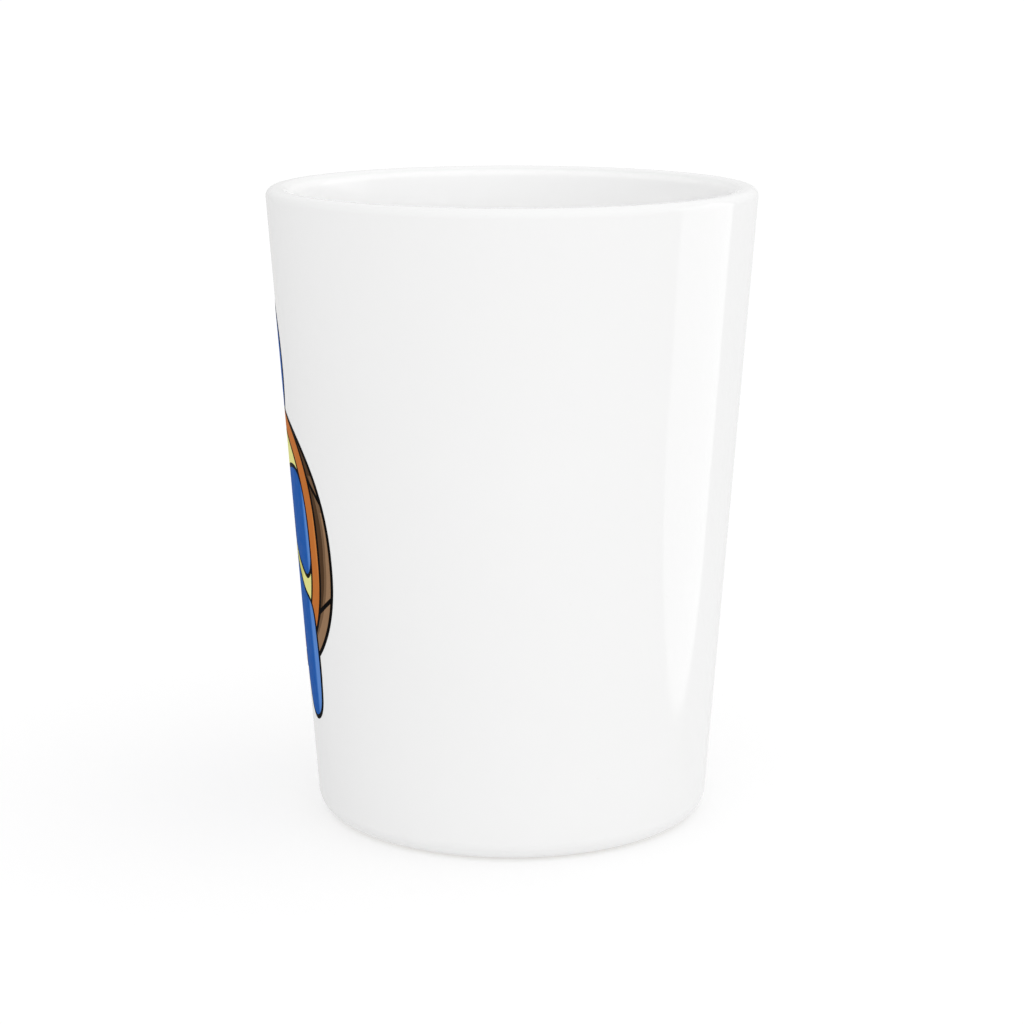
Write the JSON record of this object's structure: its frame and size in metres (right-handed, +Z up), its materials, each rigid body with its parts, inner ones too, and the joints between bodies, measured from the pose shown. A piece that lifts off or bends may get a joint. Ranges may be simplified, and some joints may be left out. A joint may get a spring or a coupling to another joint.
{
  "type": "shot glass",
  "caption": "Tapered, glazed ceramic shot glass with a rounded lip, a dry foot ring and a printed bow badge on its front.",
  "frame": {"origin": "centre of the foot ring, on the surface the glass stands on", "axes": "+Z up along the cup's axis, -Y towards the printed front, +X to the right of someone facing the print"},
  "size_m": [0.0458, 0.0458, 0.06],
  "materials": {
    "fired_body": "matte, unglazed, fine-grained",
    "white_glaze": "glossy white glaze",
    "black_ink": "printed key line, satin gloss",
    "brown_ink": "printed colour, satin gloss",
    "orange_ink": "printed colour, satin gloss",
    "yellow_ink": "printed colour, satin gloss",
    "blue_ink": "printed colour, satin gloss"
  },
  "bodies": {
    "root": {"ceramic_body": "fired_body", "glaze_coat": "white_glaze", "recess_glaze": "white_glaze", "key_line": "black_ink", "hanger": "blue_ink", "ring_upper": "orange_ink", "ring_lower": "orange_ink", "field_upper": "yellow_ink", "field_lower": "yellow_ink", "pleat_lowest": "brown_ink", "bow_knot": "orange_ink", "field_right": "yellow_ink", "pleat_right_upper": "brown_ink", "pleat_right_middle": "brown_ink", "pleat_right_lower": "brown_ink", "bow_loop_right": "blue_ink", "bow_tail_right": "blue_ink", "field_left": "yellow_ink", "pleat_left_upper": "brown_ink", "pleat_left_middle": "brown_ink", "pleat_left_lower": "brown_ink", "bow_loop_left": "blue_ink", "bow_tail_left": "blue_ink"}
  },
  "joints": []
}
